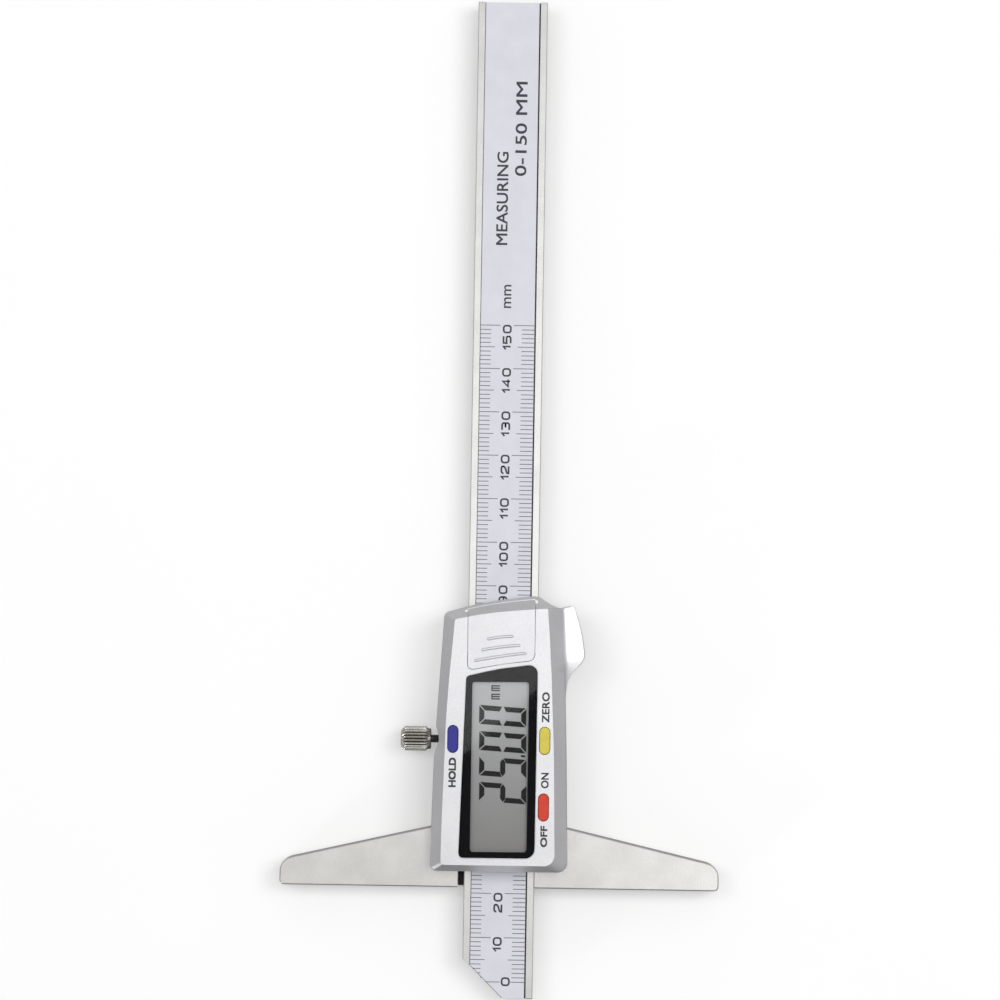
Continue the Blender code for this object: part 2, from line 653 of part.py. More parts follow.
def add_battery_cover(gauge):
    """Sliding door: the part of the outer shape inside its seam, with side tongues under the wall."""
    cover = gauge.add("battery_cover", housing_envelope(), "silver_paint")
    door = outline(DOOR_CORNERS, DOOR_STEPS)
    gauge.carve(cover, prism(door, DOOR_END_BOTTOM, 20.0), "INTERSECT")
    left = DOOR_CORNERS[4][0]
    right = DOOR_CORNERS[3][0]
    plate_bottom = BATTERY_TOP + 0.15
    gauge.carve(cover, block(left + SKIRT, right - SKIRT, 40.0, DOOR_INNER_END, 5.0, plate_bottom))
    gauge.carve(cover, block(left - 5.0, right + 5.0, 40.0, TONGUE_START, 5.0, plate_bottom))
    for low_x, high_x in ((left - TONGUE_OUT, left + SKIRT / 2), (right - SKIRT / 2, right + TONGUE_OUT)):
        tongue = block(low_x, high_x, TONGUE_START + 0.5, TONGUE_END, TONGUE_BOTTOM, TONGUE_TOP)
        gauge.carve(cover, tongue, "UNION")
    for start, end in RIBS:
        rib = loft([(band(start, end, width, RIB_BEND), height) for width, height in RIB_SECTION])
        gauge.carve(cover, rib, "UNION")
    shade(cover, 25.0)


# ---------------------------------------------------------------- display and buttons

def add_display(gauge):
    lens = window_outline(0.0)
    rim = window_outline(-WINDOW_EDGE)
    sections = [(lens, LEDGE_TOP + 0.2), (lens, WINDOW_TOP - WINDOW_EDGE), (rim, WINDOW_TOP)]
    gauge.add("display_window", loft(sections), "clear_lens", smooth=True)
    sheet = prism(window_outline(-0.05), LEDGE_TOP + 0.04, LEDGE_TOP + 0.16)
    mask = gauge.add("display_mask", sheet, "black_ink")
    gauge.carve(mask, prism(outline(VIEW_CORNERS), 13.0, 16.0))
    gauge.add("lcd_glass", block(*LCD_AREA, LCD_BOTTOM, LCD_TOP), "lcd_grey")
    frame = block(*HOLDER_AREA, ON_BOARD + 0.1, LCD_BOTTOM - 0.1)
    holder = gauge.add("lcd_holder", frame, "white_plastic")
    gauge.carve(holder, block(*HOLDER_OPENING, 5.0, 15.0))
    for number, y in enumerate(CONNECTOR_STARTS, start=1):
        strip = block(*CONNECTOR_ENDS, y, y + CONNECTOR_WIDTH, ON_BOARD, LCD_BOTTOM - 0.05)
        gauge.add(f"zebra_connector_{number}", strip, "black_rubber")


def add_buttons(gauge):
    colours = {
        "hold_button": "blue_plastic",
        "zero_button": "yellow_plastic",
        "power_button": "red_plastic",
    }
    half_x, half_y = BUTTON_LIP_HALF
    for name, (x, y) in BUTTONS.items():
        cap = stadium(BUTTON_WIDTH, BUTTON_LENGTH)
        stem = grow(cap, -0.25)
        crown = grow(cap, -0.15)
        sections = [
            (stem, BUTTON_FOOT), (stem, 13.9), (cap, 13.9), (cap, BUTTON_TOP - 0.2), (crown, BUTTON_TOP),
        ]
        bm = loft([(points, height - HOUSING_TOP) for points, height in sections])
        item = gauge.add(name, bm, colours[name], (x, y, HOUSING_TOP), smooth=True)
        lips = block(x - half_x, x + half_x, y - half_y, y + half_y, BUTTON_LIP_BOTTOM, BUTTON_LIP_TOP)
        gauge.carve(item, lips, "UNION")
        shade(item)
        dome_name = name.replace("button", "dome")
        gauge.add(dome_name, turned(DOME_PROFILE, 16), "nickel", (x, y, ON_BOARD), smooth=True)


# ---------------------------------------------------------------- electronics

def add_board(gauge):
    board = gauge.add("main_board", prism(outline(BOARD_CORNERS), BOARD_BOTTOM, BOARD_TOP), "green_board")
    boss_hole = [(BOSS_RADIUS + 0.3, 5.0), (BOSS_RADIUS + 0.3, 12.0)]
    screw_hole = [(0.85, 5.0), (0.85, 12.0)]
    holes = [shifted(turned(boss_hole, 16), x, y) for x, y in HOUSING_SCREWS]
    holes += [shifted(turned(screw_hole, 12), x, y) for x, y in BOARD_SCREWS]
    gauge.carve(board, joined(holes))
    chip_at = (*CHIP_PLACE, ON_BOARD)
    gauge.add("controller_chip", turned(CHIP_PROFILE), "black_ink", chip_at, smooth=True)
    can_radius, can_length = CRYSTAL_SIZE
    can = turned_to_x(turned([(can_radius, 0.0), (can_radius, can_length)], 16))
    gauge.add("crystal", can, "nickel", (*CRYSTAL_PLACE, ON_BOARD + can_radius + 0.05), smooth=True)
    long, wide, tall = CAPACITOR_SIZE
    for number, x in enumerate(CAPACITOR_LEFTS, start=1):
        body = block(x, x + long, CAPACITOR_Y, CAPACITOR_Y + wide, ON_BOARD, ON_BOARD + tall)
        gauge.add(f"capacitor_{number}", body, "ceramic")
    for number, (x, y) in enumerate(BOARD_SCREWS, start=1):
        profile = [(0.5, 5.4), (0.7, 5.7), (0.7, ON_BOARD), (1.3, ON_BOARD), (1.3, 8.9), (1.0, 9.1)]
        screw = turned(profile, 16)
        item = gauge.add(f"board_screw_{number}", screw, "screw_steel", (x, y, 0.0), smooth=True)
        gauge.carve(item, block(x - 2.0, x + 2.0, y - 0.2, y + 0.2, 8.85, 10.0))


def add_battery(gauge):
    x, y = BATTERY_CENTRE
    radius = BATTERY_RADIUS
    height = BATTERY_TOP - BATTERY_BOTTOM
    cell = [
        (radius - 1.6, 0.0), (radius - 1.6, 0.25), (radius - 0.3, 0.3), (radius, 0.6),
        (radius, height - 0.3), (radius - 0.3, height),
    ]
    gauge.add("battery_cell", turned(cell, 32), "nickel", (x, y, BATTERY_BOTTOM), smooth=True)
    low = y - CONTACT_HALF
    high = y + CONTACT_HALF
    leaf = outline([(-4.0, low, 0.8), (3.0, low, 0.8), (3.0, high, 0.8), (-4.0, high, 0.8)])
    gauge.add("battery_contact_negative", prism(leaf, ON_BOARD, ON_BOARD + CONTACT_THICK), "nickel")
    side = x + radius + 0.15
    clip = gauge.add("battery_contact_positive", block(side, side + 2.2, low, high, ON_BOARD, 13.2), "nickel")
    gauge.carve(clip, block(side + 0.3, side + 5.0, 50.0, 65.0, ON_BOARD + 0.3, 20.0))


def build():
    clear_scene()
    gauge = Assembly()
    add_base(gauge)
    add_slider_frame(gauge)
    add_sunk_screws(gauge, "base_screw", BASE_SCREWS, 6.3, HEAD_SUNK, "dark_steel")
    add_gib(gauge)
    add_lock_screw(gauge)
    add_beam(gauge)
    add_end_stop(gauge)
    add_housing(gauge)
    add_sunk_screws(gauge, "housing_screw", HOUSING_SCREWS, 11.6, HEAD_SUNK, "dark_steel")
    add_battery_cover(gauge)
    add_display(gauge)
    add_buttons(gauge)
    add_board(gauge)
    add_battery(gauge)


build()
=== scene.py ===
"""The looks of the digital depth gauge: finishes, print, display, floor, light and camera.

Shapes are worked out in millimetres in the frame's own axes: X across the measuring base, Y along
the beam and Z out of the display, with the back on Z = 0. Meshes are made in metres through MM.
"""
import json
import math

import bmesh
import bpy
from mathutils import Matrix, Vector


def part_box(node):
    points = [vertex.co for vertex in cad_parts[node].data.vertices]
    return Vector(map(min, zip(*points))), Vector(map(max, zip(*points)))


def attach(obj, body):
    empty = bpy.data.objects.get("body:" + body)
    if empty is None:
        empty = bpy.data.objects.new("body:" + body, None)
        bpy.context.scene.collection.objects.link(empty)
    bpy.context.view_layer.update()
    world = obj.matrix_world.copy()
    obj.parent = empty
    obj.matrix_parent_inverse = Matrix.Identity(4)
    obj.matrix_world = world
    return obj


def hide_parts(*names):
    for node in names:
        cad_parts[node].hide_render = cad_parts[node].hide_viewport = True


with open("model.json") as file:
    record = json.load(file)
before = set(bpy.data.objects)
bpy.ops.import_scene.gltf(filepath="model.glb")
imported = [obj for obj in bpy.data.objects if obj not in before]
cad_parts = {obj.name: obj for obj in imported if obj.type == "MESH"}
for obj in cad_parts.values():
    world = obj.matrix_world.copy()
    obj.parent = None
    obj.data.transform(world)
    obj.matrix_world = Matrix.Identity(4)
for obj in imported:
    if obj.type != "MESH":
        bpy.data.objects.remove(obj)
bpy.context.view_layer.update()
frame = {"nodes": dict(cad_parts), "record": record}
MM = 0.001


def low(node):
    """Lowest corner of a CAD node, in millimetres."""
    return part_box(node)[0] / MM


def high(node):
    """Highest corner of a CAD node, in millimetres."""
    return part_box(node)[1] / MM


# ---------------------------------------------------------------- places taken from the frame
FACE_Y = low("base").y
TIP_Y = low("beam").y
LABEL_LEFT = low("scale_label").x
LABEL_RIGHT = high("scale_label").x
LABEL_TOP = high("scale_label").z
HOUSING_TOP = high("housing").z
LCD_TOP = high("lcd_glass").z

# Printed scale
ZERO_TICK_Y = TIP_Y + 3.72
SCALE_LENGTH = 150
TICK_WIDTH = 0.17
LEFT_TICKS = {1: 2.5, 5: 3.4, 10: 4.65}
RIGHT_TICKS = {1: 2.9, 5: 3.8, 10: 4.75}
PRINT_HEIGHT = 0.02
COPLANAR_GAP = 0.001

# Numerals on the scale
NUMERAL_HEIGHT = 2.05
NUMERAL_WIDTH = 2.0
NARROW_WIDTH = 0.96
NUMERAL_GAP = 0.46
NUMERAL_STROKE = 0.40
NUMERAL_MIDDLE_X = -0.17


# ---------------------------------------------------------------- finishes

class Finish:
    """A Principled material with procedural helpers, working in millimetres of the object."""

    def __init__(self, name, colour, roughness, metallic=0.0):
        self.material = bpy.data.materials.new(name)
        self.material.use_nodes = True
        self.nodes = self.material.node_tree.nodes
        self.links = self.material.node_tree.links
        self.shader = self.nodes["Principled BSDF"]
        self.colour = (*colour, 1.0)
        self.shader.inputs["Base Color"].default_value = self.colour
        self.shader.inputs["Roughness"].default_value = roughness
        self.shader.inputs["Metallic"].default_value = metallic
        coordinates = self.nodes.new("ShaderNodeTexCoord")
        self.place = coordinates.outputs["Object"]

    def set(self, socket, value):
        self.shader.inputs[socket].default_value = value

    def feed(self, socket, output):
        self.links.new(output, self.shader.inputs[socket])

    def stretched(self, stretch):
        """Object coordinates in millimetres, divided by how far the pattern is drawn out."""
        mapping = self.nodes.new("ShaderNodeVectorMath")
        mapping.operation = "MULTIPLY"
        mapping.inputs[1].default_value = [1.0 / (MM * length) for length in stretch]
        self.links.new(self.place, mapping.inputs[0])
        return mapping.outputs[0]

    def noise(self, size, stretch=(1, 1, 1), detail=2.0, rough=0.5):
        """Noise between 0 and 1 whose blotches are about 'size' millimetres across."""
        node = self.nodes.new("ShaderNodeTexNoise")
        node.inputs["Scale"].default_value = 1.0 / size
        node.inputs["Detail"].default_value = detail
        node.inputs["Roughness"].default_value = rough
        self.links.new(self.stretched(stretch), node.inputs["Vector"])
        return node.outputs["Fac"]

    def cells(self, size):
        """Random value for each cell of about 'size' millimetres."""
        node = self.nodes.new("ShaderNodeTexVoronoi")
        node.inputs["Scale"].default_value = 1.0 / size
        self.links.new(self.stretched((1, 1, 1)), node.inputs["Vector"])
        separate = self.nodes.new("ShaderNodeSeparateColor")
        self.links.new(node.outputs["Color"], separate.inputs[0])
        return separate.outputs[0]

    def spread(self, value, low_in, high_in, low_out, high_out):
        node = self.nodes.new("ShaderNodeMapRange")
        node.inputs["From Min"].default_value = low_in
        node.inputs["From Max"].default_value = high_in
        node.inputs["To Min"].default_value = low_out
        node.inputs["To Max"].default_value = high_out
        self.links.new(value, node.inputs["Value"])
        return node.outputs["Result"]

    def tinted(self, factor, dark, light):
        """Mix of two colours by a factor."""
        node = self.nodes.new("ShaderNodeMix")
        node.data_type = "RGBA"
        node.inputs[6].default_value = (*dark, 1.0)
        node.inputs[7].default_value = (*light, 1.0)
        self.links.new(factor, node.inputs[0])
        return node.outputs[2]

    def shaded(self, colour, factor):
        """Colour made darker or lighter by a factor around 1."""
        node = self.nodes.new("ShaderNodeVectorMath")
        node.operation = "SCALE"
        self.links.new(colour, node.inputs[0])
        self.links.new(factor, node.inputs["Scale"])
        return node.outputs[0]

    def bump(self, height, depth, previous=None):
        """Surface relief of 'depth' millimetres."""
        node = self.nodes.new("ShaderNodeBump")
        node.inputs["Strength"].default_value = 1.0
        node.inputs["Distance"].default_value = depth * MM
        self.links.new(height, node.inputs["Height"])
        if previous:
            self.links.new(previous, node.inputs["Normal"])
        return node.outputs["Normal"]


def scaled(colour, factor):
    return tuple(channel * factor for channel in colour)


def ground_steel(name="ground_steel", colour=(0.62, 0.61, 0.59), grain=(1, 30, 1)):
    """Satin ground stainless steel: cloudy tone, fine grind lines and slight mottling."""
    finish = Finish(name, colour, 0.30, 1.0)
    clouds = finish.spread(finish.noise(7.0, detail=3.0), 0.3, 0.7, 0.0, 1.0)
    tone = finish.tinted(clouds, scaled(colour, 0.94), scaled(colour, 1.05))
    specks = finish.spread(finish.noise(0.5, detail=4.0, rough=0.7), 0.3, 0.7, 0.96, 1.04)
    finish.feed("Base Color", finish.shaded(tone, specks))
    lines = finish.noise(0.12, grain, detail=3.0)
    finish.feed("Roughness", finish.spread(lines, 0.3, 0.7, 0.27, 0.37))
    finish.feed("Normal", finish.bump(lines, 0.0016))
    return finish.material


def silver_paint(name, colour):
    """Silver lacquer on moulded plastic: fine flakes and a soft orange peel."""
    finish = Finish(name, colour, 0.36, 0.85)
    clouds = finish.spread(finish.noise(9.0), 0.3, 0.7, 0.0, 1.0)
    tone = finish.tinted(clouds, scaled(colour, 0.97), scaled(colour, 1.02))
    flakes = finish.spread(finish.cells(0.16), 0.0, 1.0, 0.95, 1.05)
    finish.feed("Base Color", finish.shaded(tone, flakes))
    finish.feed("Roughness", finish.spread(finish.cells(0.3), 0.0, 1.0, 0.32, 0.41))
    peel = finish.bump(finish.noise(0.9, detail=3.0), 0.004)
    finish.feed("Normal", finish.bump(finish.noise(0.14), 0.0012, peel))
    return finish.material


def scale_film():
    """Satin printed film with a cool tint and a faint cloudiness."""
    colour = (0.73, 0.73, 0.8)
    finish = Finish("scale_film", colour, 0.42)
    clouds = finish.spread(finish.noise(4.0, detail=3.0), 0.3, 0.7, 0.0, 1.0)
    tone = finish.tinted(clouds, scaled(colour, 0.965), scaled(colour, 1.02))
    grain = finish.spread(finish.noise(0.25, detail=3.0), 0.3, 0.7, 0.985, 1.015)
    finish.feed("Base Color", finish.shaded(tone, grain))
    finish.feed("Normal", finish.bump(finish.noise(0.3, detail=3.0), 0.001))
    return finish.material


def ink(name, colour, roughness=0.5, unevenness=0.2):
    """Screen-printed ink, slightly uneven in density."""
    finish = Finish(name, colour, roughness)
    density = finish.spread(finish.noise(0.3, detail=3.0), 0.3, 0.7, 0.0, 1.0)
    thin = scaled(colour, 1.0 + unevenness)
    finish.feed("Base Color", finish.tinted(density, scaled(colour, 1.0 - unevenness), thin))
    return finish.material


def lcd_segment():
    """Lit segment inside the display's glass, so it has hardly any gloss of its own."""
    colour = (0.021, 0.021, 0.02)
    finish = Finish("lcd_segment", colour, 0.3)
    finish.set("Specular IOR Level", 0.08)
    density = finish.spread(finish.noise(0.3, detail=3.0), 0.3, 0.7, 0.0, 1.0)
    finish.feed("Base Color", finish.tinted(density, scaled(colour, 0.96), scaled(colour, 1.04)))
    return finish.material


def moulded(name, colour, roughness=0.42, relief=0.004):
    """Moulded plastic or rubber with a fine spark-eroded texture."""
    finish = Finish(name, colour, roughness)
    clouds = finish.spread(finish.noise(1.6, detail=2.0), 0.3, 0.7, 0.0, 1.0)
    finish.feed("Base Color", finish.tinted(clouds, scaled(colour, 0.93), scaled(colour, 1.05)))
    grain = finish.noise(0.12, detail=2.0)
    finish.feed("Roughness", finish.spread(grain, 0.3, 0.7, roughness - 0.05, roughness + 0.06))
    finish.feed("Normal", finish.bump(grain, relief))
    return finish.material


def machined(name, colour, roughness=0.28, relief=0.003, metallic=1.0):
    """Turned or plated metal with fine tool marks and small stains."""
    finish = Finish(name, colour, roughness, metallic)
    stains = finish.spread(finish.noise(0.8, detail=4.0, rough=0.6), 0.3, 0.7, 0.0, 1.0)
    finish.feed("Base Color", finish.tinted(stains, scaled(colour, 0.82), scaled(colour, 1.08)))
    marks = finish.noise(0.1, (4, 1, 1), detail=2.0)
    finish.feed("Roughness", finish.spread(marks, 0.3, 0.7, roughness - 0.06, roughness + 0.1))
    finish.feed("Normal", finish.bump(marks, relief))
    return finish.material


def knurled_nickel(axis_y, axis_z, groove_radius, tooth_radius, outer_end):
    """Bright nickel with painted shade down in the grooves of a knurl that runs along X from its outer end.
    """
    colour = (0.55, 0.53, 0.495)
    finish = Finish("knurled_nickel", colour, 0.24, 1.0)
    place = finish.stretched((1, 1, 1))
    from_axis = finish.nodes.new("ShaderNodeVectorMath")
    from_axis.operation = "SUBTRACT"
    from_axis.inputs[1].default_value = (0.0, axis_y, axis_z)
    finish.links.new(place, from_axis.inputs[0])
    across = finish.nodes.new("ShaderNodeVectorMath")
    across.operation = "MULTIPLY"
    across.inputs[1].default_value = (0.0, 1.0, 1.0)
    finish.links.new(from_axis.outputs[0], across.inputs[0])
    radius = finish.nodes.new("ShaderNodeVectorMath")
    radius.operation = "LENGTH"
    finish.links.new(across.outputs[0], radius.inputs[0])
    on_teeth = finish.spread(radius.outputs["Value"], groove_radius, tooth_radius, 0.0, 1.0)
    along = finish.nodes.new("ShaderNodeSeparateXYZ")
    finish.links.new(place, along.inputs[0])
    at_end = finish.spread(along.outputs["X"], outer_end + 0.5, outer_end + 1.0, 1.0, 0.0)
    either = finish.nodes.new("ShaderNodeMath")
    either.operation = "MAXIMUM"
    finish.links.new(on_teeth, either.inputs[0])
    finish.links.new(at_end, either.inputs[1])
    unshaded = either.outputs[0]
    wear = finish.spread(finish.noise(0.5, (4, 1, 1), detail=3.0), 0.3, 0.7, 0.8, 1.1)
    # Painted shade: the grooves are darkened to 30 percent of the colour, and the outer end face is left
    # unshaded.
    tone = finish.tinted(unshaded, scaled(colour, 0.30), scaled(colour, 1.12))
    finish.feed("Base Color", finish.shaded(tone, wear))
    marks = finish.noise(0.16, (4, 1, 1), detail=2.0)
    finish.feed("Roughness", finish.spread(marks, 0.3, 0.7, 0.16, 0.34))
    finish.feed("Normal", finish.bump(marks, 0.01))
    return finish.material


def gloss_black():
    """Gloss black screen print on the back of the window."""
    colour = (0.0075, 0.0075, 0.0085)
    finish = Finish("window_border", colour, 0.18)
    finish.set("Specular IOR Level", 0.0)
    dust = finish.spread(finish.noise(0.5, detail=3.0), 0.35, 0.75, 0.0, 1.0)
    finish.feed("Base Color", finish.tinted(dust, colour, scaled(colour, 1.5)))
    return finish.material


def clear_window():
    """Clear acrylic: its outer faces mirror a little, and the rest passes straight through."""
    finish = Finish("clear_acrylic", (1.0, 1.0, 1.0), 0.03, 1.0)
    gloss = finish.nodes.new("ShaderNodeFresnel")
    gloss.inputs["IOR"].default_value = 1.42
    side = finish.nodes.new("ShaderNodeNewGeometry")
    outer = finish.spread(side.outputs["Backfacing"], 0.0, 1.0, 1.0, 0.0)
    mirrored = finish.nodes.new("ShaderNodeMath")
    mirrored.operation = "MULTIPLY"
    finish.links.new(gloss.outputs[0], mirrored.inputs[0])
    finish.links.new(outer, mirrored.inputs[1])
    finish.feed("Alpha", mirrored.outputs[0])
    smears = finish.noise(5.0, detail=3.0)
    finish.feed("Roughness", finish.spread(smears, 0.3, 0.7, 0.015, 0.05))
    return finish.material


def lcd_panel():
    """Grey-green reflective display, with a painted reflection that makes it a little lighter towards its
    upper end.
    """
    finish = Finish("lcd_panel", (0.3, 0.32, 0.3), 0.06)
    separate = finish.nodes.new("ShaderNodeSeparateXYZ")
    finish.links.new(finish.stretched((1, 1, 1)), separate.inputs[0])
    along = finish.spread(separate.outputs["Y"], low("lcd_glass").y, high("lcd_glass").y, 0.0, 1.0)
    # Painted reflection: the colour runs from darker at the lower end to lighter at the upper end.
    tone = finish.tinted(along, (0.275, 0.27, 0.265), (0.47, 0.48, 0.49))
    grain = finish.spread(finish.noise(0.2, detail=2.0), 0.3, 0.7, 0.97, 1.03)
    finish.feed("Base Color", finish.shaded(tone, grain))
    return finish.material


def circuit_board():
    """Green solder mask over copper tracks."""
    colour = (0.02, 0.13, 0.05)
    finish = Finish("circuit_board", colour, 0.35)
    tracks = finish.spread(finish.noise(1.2, (1, 4, 1), detail=1.0), 0.49, 0.52, 0.0, 1.0)
    finish.feed("Base Color", finish.tinted(tracks, colour, (0.05, 0.22, 0.08)))
    finish.feed("Normal", finish.bump(tracks, 0.02))
    return finish.material


def floor_finish():
    """Pale studio floor, faintly lit from behind like a light table."""
    finish = Finish("studio_floor", (0.8, 0.8, 0.8), 0.7)
    finish.set("Emission Color", (1.0, 1.0, 1.0, 1.0))
    finish.set("Emission Strength", 0.25)
    clouds = finish.spread(finish.noise(60.0, detail=3.0), 0.3, 0.7, 0.0, 1.0)
    finish.feed("Base Color", finish.tinted(clouds, (0.795, 0.795, 0.795), (0.805, 0.805, 0.805)))
    return finish.material


STEEL = ground_steel()
RULE_STEEL = ground_steel("rule_steel", (0.64, 0.635, 0.62), (30, 1, 1))
NICKEL = machined("nickel_plate", (0.60, 0.575, 0.53), 0.3)
# The gib strip's near-black colour is painted shade: it stands for the dark of the deep slot beside the beam.
GIB_PAINTED_SHADE = machined("gib_steel_painted_shade", (0.02, 0.02, 0.018), 0.5)
DARK_STEEL = machined("black_oxide_steel", (0.06, 0.06, 0.062), 0.3)
SCREW_STEEL = machined("screw_steel", (0.42, 0.42, 0.43), 0.32)
LACQUER = silver_paint("silver_lacquer", (0.69, 0.69, 0.71))
DOOR_LACQUER = silver_paint("door_lacquer", (0.67, 0.67, 0.69))
FILM = scale_film()
BLACK_STRIP = moulded("strip_laminate", (0.02, 0.02, 0.022), 0.45, 0.002)
SCALE_INK = ink("scale_ink", (0.14, 0.135, 0.15))
DARK_INK = ink("dark_ink", (0.035, 0.033, 0.042))
LABEL_INK = ink("label_ink", (0.03, 0.03, 0.033))
DIGIT_INK = lcd_segment()
BORDER = gloss_black()
WINDOW = clear_window()
LCD = lcd_panel()
BOARD = circuit_board()
BLUE = moulded("blue_plastic", (0.014, 0.014, 0.27), 0.4)
YELLOW = moulded("yellow_plastic", (0.69, 0.59, 0.065), 0.4)
RED = moulded("red_plastic", (0.67, 0.035, 0.004), 0.4)
WHITE_PLASTIC = moulded("white_plastic", (0.7, 0.7, 0.67), 0.5)
RUBBER = moulded("black_rubber", (0.025, 0.025, 0.025), 0.8)
CERAMIC = moulded("ceramic", (0.42, 0.33, 0.22), 0.6)
EPOXY = moulded("black_epoxy", (0.012, 0.012, 0.014), 0.3)

FINISHES = {
    STEEL: ["base", "slider_frame", "end_stop_plate"],
    RULE_STEEL: ["beam"],
    NICKEL: ["lock_screw", "battery_cell", "battery_contact_negative", "battery_contact_positive",
             "crystal", "hold_dome", "zero_dome", "power_dome"],
    DARK_STEEL: ["gib_screw_1", "gib_screw_2", "stop_screw_1", "stop_screw_2",
                 *[f"base_screw_{number}" for number in range(1, 5)],
                 *[f"housing_screw_{number}" for number in range(1, 5)]],
    SCREW_STEEL: ["board_screw_1", "board_screw_2"],
    GIB_PAINTED_SHADE: ["gib_strip"],
    LACQUER: ["housing"],
    DOOR_LACQUER: ["battery_cover"],
    FILM: ["scale_label"],
    BLACK_STRIP: ["scale_strip"],
    BORDER: ["display_mask"],
    WINDOW: ["display_window"],
    LCD: ["lcd_glass"],
    BOARD: ["main_board"],
    BLUE: ["hold_button"],
    YELLOW: ["zero_button"],
    RED: ["power_button"],
    WHITE_PLASTIC: ["lcd_holder"],
    RUBBER: ["zebra_connector_1", "zebra_connector_2"],
    CERAMIC: ["capacitor_1", "capacitor_2"],
    EPOXY: ["controller_chip"],
}

BODY_OF = {}
for body, members in frame["record"]["behaviour"]["bodies"].items():
    for member in members:
        BODY_OF[member] = body


# ---------------------------------------------------------------- building pieces

def add_piece(name, mesh, finish, body):
    """A new visible piece that rides on a CAD body. Its mesh is in metres."""
    piece = bpy.data.objects.new(name, mesh)
    bpy.context.scene.collection.objects.link(piece)
    mesh.materials.clear()
    mesh.materials.append(finish)
    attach(piece, body)
    return piece


def mesh_from(bm, name, smooth_angle=None):
    """Mesh in metres from a bmesh in millimetres."""
    bmesh.ops.recalc_face_normals(bm, faces=bm.faces)
    bmesh.ops.scale(bm, vec=(MM, MM, MM), verts=bm.verts)
    mesh = bpy.data.meshes.new(name)
    bm.to_mesh(mesh)
    bm.free()
    if smooth_angle is not None:
        mesh.shade_smooth()
        mesh.set_sharp_from_angle(angle=math.radians(smooth_angle))
    return mesh


def refine(node, finish, smooth_angle):
    """Stands in for a CAD node with the same shape, but with welded faces and smooth curves."""
    source = frame["nodes"][node].data
    bm = bmesh.new()
    verts = [bm.verts.new(vertex.co / MM) for vertex in source.vertices]
    for polygon in source.polygons:
        bm.faces.new([verts[i] for i in polygon.vertices])
    bmesh.ops.remove_doubles(bm, verts=bm.verts, dist=0.001)
    bmesh.ops.dissolve_degenerate(bm, edges=bm.edges, dist=0.0005)
    bmesh.ops.dissolve_limit(bm, angle_limit=math.radians(0.4), verts=bm.verts, edges=bm.edges)
    bmesh.ops.triangulate(bm, faces=[face for face in bm.faces if len(face.verts) > 4])
    name = f"{node}_finished"
    piece = add_piece(name, mesh_from(bm, name, smooth_angle), finish, BODY_OF[node])
    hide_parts(node)
    return piece


def rounded(corners, closed=False, steps=4):
    """Path through (x, y, rounding) corners, with each corner rounded by an arc."""
    places = [Vector(corner[:2]) for corner in corners]
    path = []
    for i, corner in enumerate(corners):
        inner = closed or 0 < i < len(corners) - 1
        if not inner or len(corner) < 3 or corner[2] == 0:
            path.append(places[i])
            continue
        before = places[i - 1] - places[i]
        after = places[(i + 1) % len(places)] - places[i]
        first = places[i] + before.normalized() * corner[2]
        last = places[i] + after.normalized() * corner[2]
        weight = math.cos((math.pi - before.angle(after)) / 2)
        for step in range(steps + 1):
            s = step / steps
            parts = ((1 - s) ** 2, 2 * weight * s * (1 - s), s ** 2)
            path.append((first * parts[0] + places[i] * parts[1] + last * parts[2]) / sum(parts))
    return path


def sweep(bm, path, width, bottom, top, closed=False):
    """Adds a flat bar with a rectangular section along a path in the XY plane."""
    count = len(path)
    rows = []
    for i, point in enumerate(path):
        before = path[i - 1] if i or closed else point * 2 - path[1]
        after = path[(i + 1) % count] if i < count - 1 or closed else point * 2 - path[i - 1]
        along_in = (point - before).normalized()
        along_out = (after - point).normalized()
        across = Vector((-(along_in + along_out).y, (along_in + along_out).x)).normalized()
        square = max(across.dot(Vector((-along_in.y, along_in.x))), 0.5)
        reach = across * (width / 2 / square)
        sides = ((reach, bottom), (reach, top), (-reach, top), (-reach, bottom))
        rows.append([bm.verts.new((*(point + side), z)) for side, z in sides])
    for i in range(count if closed else count - 1):
        here = rows[i]
        there = rows[(i + 1) % count]
        for k in range(4):
            bm.faces.new((here[k], here[(k + 1) % 4], there[(k + 1) % 4], there[k]))
    if not closed:
        bm.faces.new(list(reversed(rows[0])))
        bm.faces.new(rows[-1])


def plate(bm, outline, bottom, top):
    """Adds a flat plate with the given outline."""
    lower = [bm.verts.new((*point, bottom)) for point in outline]
    upper = [bm.verts.new((*point, top)) for point in outline]
    for i in range(len(outline)):
        j = (i + 1) % len(outline)
        bm.faces.new((lower[i], lower[j], upper[j], upper[i]))
    bm.faces.new(list(reversed(lower)))
    bm.faces.new(upper)


def reading_up(x, y):
    """Turns text coordinates (along the line, up the letter) so that the line runs along +Y."""
    return lambda u, v: Vector((x - v, y + u))


# ---------------------------------------------------------------- printed scale

